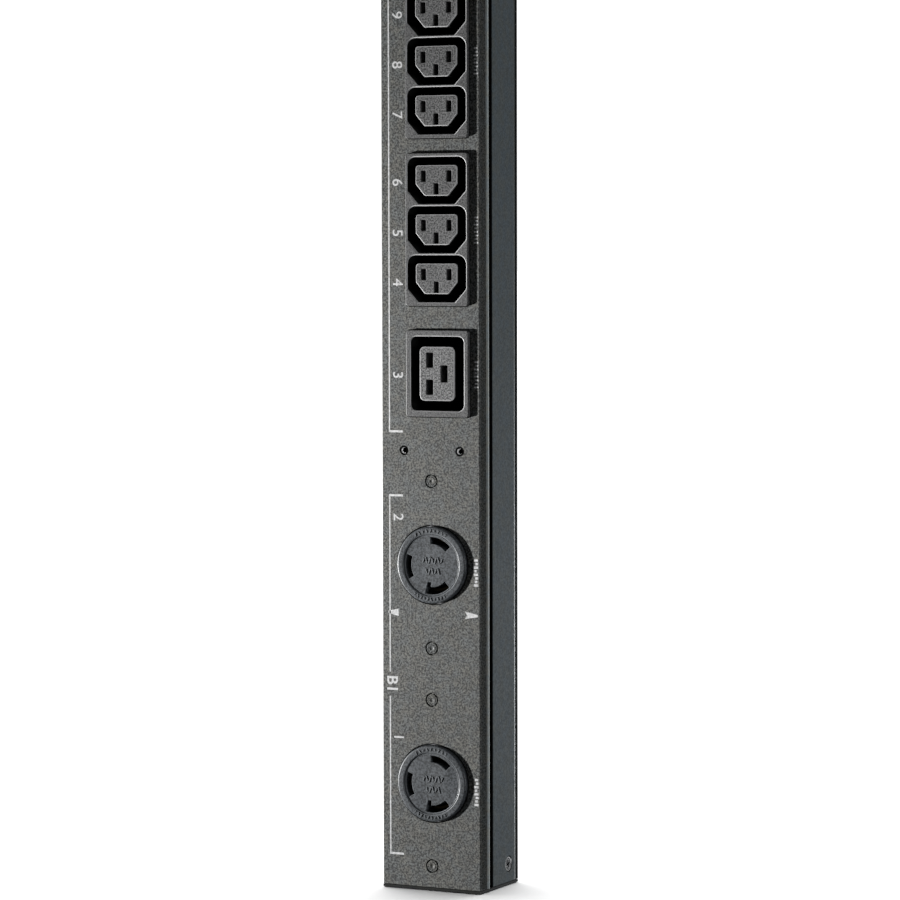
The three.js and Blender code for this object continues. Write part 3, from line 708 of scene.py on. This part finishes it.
def appliance_outlet(name, node, block_height, sockets, groove_at, nose_at, groove_depth, slots,
                     nose_face):
    """Moulded body: a softened block, and in it a groove around a nose for every socket."""
    b = Builder()
    centre = middle(node)
    high = node_box(node)[1]
    at = (centre.x, centre.z)

    ledge = -18.5
    block_path = (
        (-0.35, BEZEL), (-0.16, BEZEL + 0.04), (-0.04, BEZEL + 0.16), (0, BEZEL + 0.35),
        (0, INNER + 0.3), (0.9, INNER + 0.3), (1.0, INNER + 0.4), (1.0, ledge - 0.1), (0.9, ledge),
        (-0.4, ledge), (-0.4, high.y - 0.3), (-0.7, high.y))
    outside = []
    for grow, depth in block_path:
        outline = rounded(BLOCK_WIDTH + 2 * grow, block_height + 2 * grow, 1.5 + grow, 6)
        outside.append(b.front_ring(outline, depth, at))
    b.stack(outside)
    groove_path = ((0.5, 0), (0.4, 0.03), (0.04, 0.4), (0, 0.55), (-0.15, groove_depth))
    nose_path = ((0.1, groove_depth), (0, 0.7), (-0.06, 0.3), (-0.2, 0.06), (-0.45, 0))
    face_holes, back_holes = [], []
    for offset in sockets:
        here = (at[0], at[1] + offset)
        groove = [b.front_ring(groove_at(grow), BEZEL + depth, here) for grow, depth in groove_path]
        # The groove's rim and the nose's edge take the painted highlight (slot 1).
        b.stack(groove[:4], slot=1)
        # The groove's walls and floor and the nose's foot take painted shade (slot 2).
        b.stack(groove[3:], slot=2)
        face_holes.append(groove[0])
        nose = [b.front_ring(nose_at(grow), BEZEL + depth, here) for grow, depth in nose_path]
        b.stack(nose[:2], slot=2)
        b.stack(nose[1:], slot=1)
        b.fill([groove[-1], nose[0]], slot=2)
        mouths = []
        for x, z, slot_width, slot_height in slots:
            spot = (here[0] + x, here[1] + z)
            mouth, rear = slot_rings(
                b, lambda g, w=slot_width, h=slot_height: rounded(w + 2 * g, h + 2 * g, 0.25 + g, 3),
                spot, BEZEL, high.y)
            mouths.append(mouth)
            back_holes.append(rear)
        b.fill([nose[-1]] + mouths, slot=3)
    b.fill([outside[0]] + face_holes)
    b.fill([outside[-1]] + back_holes)
    b.build(name, SOCKET, replaces=[node],
            others=(SOCKET_RIM_HIGHLIGHT, SOCKET_RECESS_SHADE, nose_face))


def triple_outlets():
    slots = [(-7.4, 2.2, 2.8, 5.7), (7.4, 2.2, 2.8, 5.7), (0, -4.3, 2.8, 5.7)]
    for node in triple_names():
        appliance_outlet(
            node.replace("_body", "_moulding"), node, TRIPLE_HEIGHT, (-OUTLET_PITCH, 0, OUTLET_PITCH),
            lambda g: socket_outline(34, 24.2, 4.8, 6.4, 6.9, g),
            lambda g: socket_outline(24, 15.8, 1.8, 5.2, 6.0, g), 16.0, slots, SMALL_NOSE)


def large_outlet():
    slots = [(-4.2, 7, 4.0, 7.7), (-4.2, -7, 4.0, 7.7), (4.2, 0, 4.0, 8.7)]
    appliance_outlet(
        "outlet_3_moulding", "outlet_3_body", LARGE_HEIGHT, (0,),
        lambda g: rounded(30.8 + 2 * g, 38.3 + 2 * g, 3.3 + g, 7),
        lambda g: rounded(20.2 + 2 * g, 28 + 2 * g, 2.8 + g, 7), 19.0, slots, LARGE_NOSE)


def twist_slot_outlines(grow):
    """The three curved slots of a twist-lock face, the last one with a hook."""
    turn = math.degrees(grow / 13.3)
    first = sector(11.0 - grow, 14.6 + grow, 42 - turn, 93 + turn)
    second = sector(11.8 - grow, 15.1 + grow, 159 - turn, 210 + turn)
    start, end, bend = -104 - turn, -47 + turn, -92 + turn
    third = (
        arc(0, 0, 15.2 + grow, start, end, 14) + arc(0, 0, 11.4 - grow, end, bend, 12)
        + arc(0, 0, 8.9 - grow, bend, start, 4)
    )
    return [first, second, third]


def twist_outlet(number):
    """Round moulded face: rounded rim, flat ring, fine step, sunk centre with three slots."""
    node = f"outlet_{number}_body"
    b = Builder()
    centre = middle(node)
    high = node_box(node)[1]
    at = (centre.x, centre.z)

    def ring(radius, depth):
        return b.front_ring(circle(radius, 96), depth, at)

    rim = [(16.35, 0.62), (16.2, 0.35), (16.35, 0.12), (16.6, 0.02), (16.8, 0), (18.9, 0),
           (19.35, 0.07), (19.7, 0.28), (19.9, 0.65), (19.95, 1.0)]
    behind = [(19.95, INNER), (18.9, INNER), (18.9, -19.0), (19.5, -19.0), (19.5, high.y - 0.5),
              (19.0, high.y)]
    outside = [ring(radius, BEZEL + depth) for radius, depth in rim]
    outside += [ring(radius, depth) for radius, depth in behind]
    # The rim's inner rounded edge takes the painted highlight (slot 1).
    b.stack(outside[:4], slot=1)
    b.stack(outside[3:6])
    b.stack(outside[5:])
    disc = [outside[0], ring(15.95, BEZEL + 0.62), ring(15.75, BEZEL + 0.45), ring(15.5, BEZEL + 0.6)]
    b.stack(disc[:3])
    # The step into the sunk centre takes the painted highlight (slot 1).
    b.stack(disc[2:], slot=1)
    mouths = [b.front_ring(o, BEZEL + 0.6, at) for o in twist_slot_outlines(0.22)]
    shoulders = [b.front_ring(o, BEZEL + 0.8, at) for o in twist_slot_outlines(0.0)]
    rears = [b.front_ring(o, high.y, at) for o in twist_slot_outlines(0.0)]
    for mouth, shoulder, rear in zip(mouths, shoulders, rears):
        # The slot mouths take the painted highlight (slot 1).
        b.stack([mouth, shoulder], slot=1)
        b.stack([shoulder, rear])
    b.fill([disc[-1]] + mouths)
    b.fill([outside[-1]] + rears)
    b.build(f"outlet_{number}_moulding", TWIST, replaces=[node],
            others=(TWIST_HIGHLIGHT,))
    relief(number, at)


def relief(number, at):
    """Raised moulded marks: short ticks round the rim and bars in the centre, in the lighter plastic of
    the painted highlight.
    """
    b = Builder()

    def bar(u, v, height, turn, base, rise):
        """Slanted bar whose face is a tenth smaller than its foot."""
        cos, sin = math.cos(turn), math.sin(turn)

        def outline(scale):
            across, up = 0.31 * scale, height / 2 * scale
            corners = [(-across, -up), (across, -up), (across, up), (-across, up)]
            return [(u + du * cos - dv * sin, v + du * sin + dv * cos) for du, dv in corners]

        b.solid([b.front_ring(outline(0.9), base - rise, at), b.front_ring(outline(1), base - LIFT, at)])

    around = 17.8
    for start, count in ((62, 9), (238, 10)):
        for i in range(count):
            angle = math.radians(start + i * (58 / (count - 1)))
            height = 1.9 if i % 3 else 1.3
            slant = angle + (0.35 if i % 2 else -0.3) - math.pi / 2
            bar(around * math.cos(angle), around * math.sin(angle), height, slant, BEZEL, 0.32)
    for row, (height, count) in enumerate(((2.4, 7), (-3.2, 5))):
        for i in range(count):
            across = (i - (count - 1) / 2) * 1.75
            slant = 0.3 if (i + row) % 2 else -0.35
            bar(across + 0.6, height, 3.8 if i % 3 else 2.6, slant, BEZEL + 0.6, 0.35)
    b.build(f"outlet_{number}_relief", TWIST_HIGHLIGHT)


def breaker_body(number):
    """Black frame: softened bezel, body behind the cover, window with a floor and two pin holes."""
    node = f"breaker_{number}_body"
    b = Builder()
    low, high = node_box(node)
    centre = (low + high) / 2
    at = (centre.x, centre.z)
    wide, tall = 9.6, 13.1
    floor_at = ROCKER_AXIS + 13

    def frame_ring(width, height, radius, depth):
        return b.front_ring(rounded(width, height, radius, 5), depth, at)

    front = low.y
    outside = [frame_ring(*row) for row in (
        (35.6, 49.6, 1.0, front), (36.6, 50.6, 1.4, front + 0.12), (37.5, 51.5, 1.8, front + 0.5),
        (38, 52, 2, front + 1.1), (38, 52, 2, FRONT - 0.3),
        (BREAKER_WIDTH, BREAKER_HEIGHT, 0.4, FRONT - 0.3),
        (BREAKER_WIDTH, BREAKER_HEIGHT, 0.4, high.y - 0.4), (33.2, 45.2, 0.4, high.y))]
    b.stack(outside)
    b.fill([outside[-1]])
    step = [frame_ring(*row) for row in (
        (25.6, 33.6, 1.6, front), (25.2, 33.2, 1.4, front + 0.35), (20.6, 27.6, 0.8, front + 0.9),
        (19.6, 26.6, 0.5, front + 1.1))]
    b.stack(step)
    b.fill([outside[0], step[0]])
    corners = [(wide, tall), (-wide, tall), (-wide, -tall), (wide, -tall)]
    mouth = b.front_ring(corners, front + 1.1, at)
    floor = b.front_ring(corners, floor_at, at)
    b.fill([step[-1], mouth])
    b.face((mouth[0], mouth[1], floor[1], floor[0]))
    b.face((mouth[2], mouth[3], floor[3], floor[2]))
    b.fill([floor])
    for side, (i, j) in ((1, (3, 0)), (-1, (1, 2))):
        holes = [
            b.ring((at[0] + side * across, ROCKER_AXIS + u, at[1] + v) for u, v in circle(2.3, 32))
            for across in (wide, 11.5)
        ]
        b.skirt(holes[0], holes[1])
        b.fill([holes[1]], axes=(1, 2))
        b.fill([[mouth[i], mouth[j], floor[j], floor[i]], holes[0]], axes=(1, 2))
    b.build(f"breaker_{number}_frame", BLACK_PLASTIC, replaces=[node])


def breaker_rocker(number):
    """Rocker pad on two pins, pressed in at the top, with a bar and a ring printed on it."""
    node = f"breaker_{number}_rocker"
    body = f"rocker_{number}"
    pad_height = 22.0
    pivot = Vector((middle(node).x, ROCKER_AXIS, middle(f"breaker_{number}_body").z))
    turn = math.radians(-12)

    def place(x, y, z):
        return Vector((pivot.x + x, pivot.y + y * math.cos(turn) - z * math.sin(turn),
                       pivot.z + y * math.sin(turn) + z * math.cos(turn)))

    def face_at(z):
        """Depth of the slightly hollow front, from the pivot."""
        return -4.4 - 1.4 * abs(z) / (pad_height / 2)

    def pad(inset):
        """Section in (y, z): slightly hollow front, round ends, flat back."""
        reach = 12.6 - inset
        front = [(face_at(v) + inset, v) for v in (10.4, 7, 3.5, 1, 0)]
        front += [(y, -v) for y, v in reversed(front[:-1])]
        lower = arc(0, 0, reach, 241.5, 282, 8)
        upper = arc(0, 0, reach, 78, 118.5, 8)
        back = 4.2 - inset
        return front + lower + [(back, -6 + inset), (back, 6 - inset)] + upper

    b = Builder()
    path = [(-9.0, 0.32), (-8.9, 0.1), (-8.68, 0.0), (8.68, 0.0), (8.9, 0.1), (9.0, 0.32)]
    rings = [b.ring(place(x, y, z) for y, z in pad(inset)) for x, inset in path]
    b.stack(rings)
    for end, side in ((rings[0], -1), (rings[-1], 1)):
        pins = [
            b.ring(place(side * x, y, z) for y, z in circle(radius, 28))
            for x, radius in ((9.0, 2.0), (10.9, 2.0), (11.2, 1.7))
        ]
        b.fill([end, pins[0]], axes=(1, 2))
        b.stack(pins)
        b.fill([pins[-1]], axes=(1, 2))
    b.build(f"breaker_{number}_pad", BLACK_PLASTIC, body=body, replaces=[node])

    marks = Builder()

    def print_on(outlines):
        """Closed thin print lying on the sloping front face."""
        loops = [
            [marks.ring(place(x, face_at(z) - lift, z) for x, z in outline) for lift in (0.05, LIFT)]
            for outline in outlines
        ]
        for outer, under in loops:
            marks.skirt(outer, under)
        marks.fill([outer for outer, under in loops])
        marks.fill([under for outer, under in loops])

    print_on([rectangle(-0.45, 0.45, 4.2, 9.0)])
    print_on([[(u, v - 6.6) for u, v in circle(radius, 40)] for radius in (2.4, 1.65)])
    marks.build(f"breaker_{number}_marks", PRINT, body=body)


def hexagon(across_flats, corner_first, chamfer_at):
    """Radius function of a hexagon whose corners are turned off near its end faces."""
    apothem = across_flats / 2
    shift = 0 if corner_first else math.radians(30)

    def radius_at(angle, radius, along):
        local = (angle + shift) % math.radians(60) - math.radians(30)
        flat = apothem / math.cos(local)
        return min(flat, chamfer_at(along)) if radius > apothem - 0.01 else radius
    return radius_at


def corner_on_x(node):
    low, high = node_box(node)
    return high.x - low.x > high.y - low.y


def hex_nut(b, node, across_flats, low, high, inner):
    """Chamfered hexagon between two heights, joined to an inner profile from its top to its foot."""
    corner = across_flats / math.sqrt(3)

    def chamfer_at(along):
        near = min(along - low, high - along)
        return min(corner, across_flats / 2 - 0.1 + max(near, 0) * 2.2)

    reach = across_flats / 2
    steps = [0, 0.15, 0.4, 0.8, 1.2]
    outer = [(reach, low + d) for d in steps] + [(reach, high - d) for d in reversed(steps)]
    shape = hexagon(across_flats, corner_on_x(node), chamfer_at)
    turned(b, outer + inner, "z", (0, 0, 0), 96, shape, True)


def thread(radius, depth, pitch, start, end):
    """Zigzag of thread crests and roots from start to end."""
    points = []
    along = start
    step = pitch / 2 if end > start else -pitch / 2
    crest = True
    while (end - along) * step > 0:
        points.append((radius if crest else radius - depth, along))
        crest = not crest
        along += step
    return points


def gland_stem():
    """Hexagon flange on the top plate, threaded above and below it."""
    low, high = node_box("gland_body")
    bore, foot, shoulder = 8.5, PLATE_TOP + 0.3, PLATE_TOP + 6.5
    inside = [(12.0, foot)] + thread(12.4, 0.5, 1.5, PLATE_TOP, low.z + 1)
    inside += [(11.6, low.z), (bore, low.z)]
    outside = [(bore, high.z), (11.7, high.z)] + thread(12.4, 0.5, 1.5, high.z - 0.8, PLATE_TOP + 7)
    outside += [(12.2, shoulder)]
    b = Builder()
    hex_nut(b, "gland_body", 33, foot, shoulder, outside[::-1] + inside[::-1])
    b.build("gland_stem", BLACK_PLASTIC, replaces=["gland_body"])


def gland_lock_nut():
    low, high = node_box("gland_lock_nut")
    b = Builder()
    hex_nut(b, "gland_lock_nut", 32, low.z, high.z,
            [(13.1, high.z), (12.7, high.z - 0.4), (12.7, low.z + 0.4), (13.1, low.z)])
    b.build("gland_nut", BLACK_PLASTIC, replaces=["gland_lock_nut"])


def gland_seal():
    """Rubber ring with a ridged bore."""
    low, high = node_box("gland_seal")
    profile = [(8.4, low.z), (11.7, low.z), (12.0, low.z + 0.4), (12.0, high.z - 0.4), (11.7, high.z),
               (8.4, high.z), (8.0, high.z - 0.4)]
    profile += [(8.0 + 0.35 * (i % 2), high.z - 0.9 - 0.75 * i) for i in range(6)]
    profile += [(8.0, low.z + 0.4)]
    b = Builder()
    turned(b, profile, "z", (0, 0, 0), 64, closed=True)
    b.build("gland_seal_ring", RUBBER, replaces=["gland_seal"])


def gland_cap():
    """Domed cap nut with twelve flutes round it."""
    low, high = node_box("gland_cap")
    wide, peak, base = 15.6, high.z, low.z
    flute_top, shoulder = peak - 5.5, PLATE_TOP + 22.6

    def flutes(angle, radius, along):
        if radius < 14.8 or along > flute_top:
            return radius
        fade = min(1.0, (flute_top - along) / 2.0, (along - base - 0.6) / 0.6)
        return radius - 0.75 * max(0.0, math.cos(12 * angle)) ** 3 * max(0.0, fade)

    dome = [(wide - 0.4, base), (wide, base + 0.4), (wide, base + 1.4), (wide, base + 4),
            (wide, peak - 9.5), (wide, peak - 8), (wide, peak - 6.8), (wide - 0.1, peak - 5.8),
            (wide - 0.5, peak - 4.6), (wide - 1.2, peak - 3.4), (wide - 2.2, peak - 2.2),
            (wide - 3.4, peak - 1.2), (wide - 4.8, peak - 0.4), (wide - 6.0, peak), (9.0, peak),
            (8.6, peak - 0.2), (8.5, peak - 0.6), (8.5, shoulder + 2), (12.7, shoulder),
            (12.7, base + 0.5), (13.2, base)]
    b = Builder()
    turned(b, dome, "z", (0, 0, 0), 192, flutes, True)
    b.build("gland_dome", BLACK_PLASTIC, replaces=["gland_cap"])


def mounting_peg(node):
    """Turned button: washer face inside, neck through the plate, rounded head outside."""
    b = Builder()
    low, high = node_box(node)
    centre = middle(node)
    tip = high.y
    profile = [(0, low.y), (5.2, low.y), (5.5, low.y + 0.3), (5.5, low.y + 1.4), (5.3, low.y + 1.7),
               (3.5, low.y + 1.7), (3.5, tip - 3.5), (3.6, tip - 3.4), (5.7, tip - 3.05),
               (6.0, tip - 2.8), (6.0, tip - 1.0), (5.85, tip - 0.5), (5.4, tip - 0.15), (4.8, tip),
               (2.4, tip), (2.1, tip - 0.2), (0, tip - 0.5)]
    turned(b, profile, "y", (centre.x, 0, centre.z), 56)
    b.build(node + "_button", ZINC, replaces=[node])


front_cover()
rear_channel()
rivets()
for end_name in ("bottom", "top"):
    for side_name in ("left", "right"):
        side_screw(end_name, side_name)
for node_name in sorted(NODES):
    if "_stud_" in node_name:
        strap_stud(node_name)
    if node_name.startswith("insert_"):
        insert_sleeve(node_name)
    if node_name.startswith("mounting_peg_"):
        mounting_peg(node_name)
triple_outlets()
large_outlet()
for outlet_number in TWIST_OUTLETS:
    twist_outlet(outlet_number)
for breaker_number in BREAKERS:
    breaker_body(breaker_number)
    breaker_rocker(breaker_number)
gland_stem()
gland_lock_nut()
gland_seal()
gland_cap()

# Printing

INK = 0.03


def ink(name, outlines):
    """Flat printed shapes on the cover, given as (x, z) outlines."""
    b = Builder()
    for outline in outlines:
        b.solid([b.front_ring(outline, FRONT - INK), b.front_ring(outline, FRONT - LIFT)])
    b.build(name, PRINT)


def bracket_lines():
    line, thick, foot = -24.0, 0.36, -16.2
    ends, lines = (17.3, 204.7, 238.0, 645.0), ((18.4, 100.4), (113.0, 204.7), (239.1, 645.0))
    shapes = [rectangle(line - thick, foot, height, height + 1.1) for height in ends]
    shapes += [rectangle(line - thick, line + thick, start, stop) for start, stop in lines]
    ink("print_bank_lines", shapes)
    ink("print_bank_markers", [
        [(-24.9, 143.7), (-19.0, 142.4), (-19.0, 146.2), (-24.9, 144.9)],
        [(19.8, 142.5), (27.1, 143.6), (27.1, 144.9), (19.8, 146.3), (20.9, 144.3)],
    ])


def rating_marks():
    """A column of plain ticks beside each outlet module, where a rating would be printed."""
    modules = [(n, middle(f"outlet_{n}_body").z - 3.1, 24.9) for n in TWIST_OUTLETS]
    modules.append((3, middle("outlet_3_body").z, 25.2))
    modules += [(4 + 3 * i, middle(node).z, 25.2) for i, node in enumerate(triple_names())]
    ticks = ((0, 2.5), (0.5, 1.5), (0.8, 1.7), (0.1, 2.3), (0.4, 1.3), (0, 2.5), (0.9, 1.5), (0.3, 2.0))
    for number, height, start in modules:
        shapes = []
        thick = 1.25 if number in TWIST_OUTLETS else 0.85
        for i, (lead, reach) in enumerate(ticks):
            low = height - 7.2 + i * 1.85
            shapes.append(rectangle(start + lead, start + lead + reach, low, low + thick))
        ink(f"print_rating_marks_{number}", shapes)


def caption(name, words, across, height, size, bold):
    """Printed characters that read from top to bottom."""
    curve = bpy.data.curves.new(name, "FONT")
    curve.body = words
    curve.size = size * MM
    curve.extrude = INK / 2 * MM
    curve.offset = bold * MM
    curve.align_x, curve.align_y = "CENTER", "CENTER"
    curve.resolution_u = 6
    text = new_object(name, curve)
    turn = Matrix(((0, 1, 0), (0, 0, -1), (-1, 0, 0))).to_4x4()
    spot = Vector((across, FRONT - INK / 2, height)) * MM
    text.matrix_world = Matrix.Translation(spot) @ turn
    curve.materials.append(PRINT)
    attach(text, HOUSING)


def outlet_numbers():
    places = [79.0, 194.0, 267.8, 315.7, 341.3, 367.4, 402.2, 427.9, 453.5]
    places += [488.5, 514.1, 539.8, 574.7, 600.4, 626.0]
    for number, height in enumerate(places, start=1):
        caption(f"print_number_{number}", str(number), -19.2, height, 8.2, 0.07)
    caption("print_bank_letter", "B1", -23.0, 106.6, 8.8, 0.16)


bracket_lines()
rating_marks()
outlet_numbers()

# Everything else keeps its CAD shape


def dress_cad_nodes():
    for name, node in NODES.items():
        if node.hide_render:
            continue
        material = BY_SLOT[SLOT_OF[name]]
        for slot in node.material_slots:
            slot.material = material
        bevel = node.modifiers.new("edges", "BEVEL")
        bevel.width = 0.18 * MM
        bevel.segments = 2
        bevel.limit_method = "ANGLE"
        bevel.angle_limit = math.radians(40)


dress_cad_nodes()

# Light and floor


def area_light(name, place, aim, size, power, colour=(1, 1, 1)):
    data = bpy.data.lights.new(name, "AREA")
    data.shape = "DISK"
    data.size, data.energy, data.color = size, power, colour
    light = new_object(name, data)
    light.location = place
    direction = Vector(aim) - Vector(place)
    light.rotation_mode = "QUATERNION"
    light.rotation_quaternion = direction.to_track_quat("-Z", "Y")
    light.visible_camera = False
    return light


def floor():
    mesh = bpy.data.meshes.new("floor")
    reach = 40.0
    mesh.from_pydata([(-reach, -reach, 0), (reach, -reach, 0), (reach, reach, 0), (-reach, reach, 0)],
                     [], [(0, 1, 2, 3)])
    ground = new_object("floor", mesh)
    ground.location.z = -0.4 * MM
    shader = Shader("floor_white", roughness=0.9, specular=0.0)
    tone = shader.noise(900, detail=2)
    mesh.materials.append(shader.done(shader.ramp(tone, [(0.3, grey(0.9)), (0.7, grey(0.92))])))
    ground.visible_diffuse = False
    ground.visible_glossy = False
    return ground


def lights(ground):
    """Five lamps that see the object alone, and a sun that sees the floor (metres and watts)."""
    without_floor = bpy.data.collections.new("lit_without_floor")
    without_floor.objects.link(ground)
    without_floor.collection_objects[0].light_linking.link_state = "EXCLUDE"
    only_floor = bpy.data.collections.new("lit_floor")
    only_floor.objects.link(ground)

    key = area_light("key", (-0.99, -0.45, 0.045), (0, -0.02, 0.3), 0.05, 10.7)
    key.data.spread = math.radians(110)
    rim = area_light("rim_right", (0.31, 2.9, -0.2), (0, 0, 0.1), 0.3, 22.0, (0.95, 0.98, 1.0))
    side = area_light("side", (2.6, -0.6, 0.3), (0, 0, 0.2), 0.5, 18.5, (0.96, 0.98, 1.0))
    rim_left = area_light("rim_left", (-1.4, 1.5, 0.9), (0, 0, 0.45), 1.0, 20.0)
    top = area_light("top", (0.2, -0.3, 2.4), (0, 0, 0.5), 1.2, 2.5)
    for light in (key, rim, side, rim_left, top):
        light.light_linking.receiver_collection = without_floor
        light.light_linking.blocker_collection = without_floor

    data = bpy.data.lights.new("floor_sun", "SUN")
    data.energy, data.angle = 5.0, math.radians(60)
    sun = new_object("floor_sun", data)
    sun.rotation_euler = (math.radians(-16), math.radians(-10), 0)
    sun.light_linking.receiver_collection = only_floor


def background(tree, colour, strength):
    node = tree.nodes.new("ShaderNodeBackground")
    node.inputs["Color"].default_value = (*colour, 1)
    node.inputs["Strength"].default_value = strength
    return node.outputs["Background"]


def world():
    """White behind the object, and only a faint glow on it."""
    space = bpy.data.worlds.new("studio")
    bpy.context.scene.world = space
    space.use_nodes = True
    tree = space.node_tree
    tree.nodes.clear()
    out = tree.nodes.new("ShaderNodeOutputWorld")
    mix = tree.nodes.new("ShaderNodeMixShader")
    path = tree.nodes.new("ShaderNodeLightPath")
    tree.links.new(path.outputs["Is Camera Ray"], mix.inputs["Fac"])
    tree.links.new(background(tree, (0.9, 0.95, 1.0), 0.035), mix.inputs[1])
    tree.links.new(background(tree, (1, 1, 1), 1.1), mix.inputs[2])
    tree.links.new(mix.outputs["Shader"], out.inputs["Surface"])


lights(floor())
world()
scene = bpy.context.scene
scene.view_settings.view_transform = "Standard"
scene.view_settings.look = "None"

bpy.context.view_layer.update()
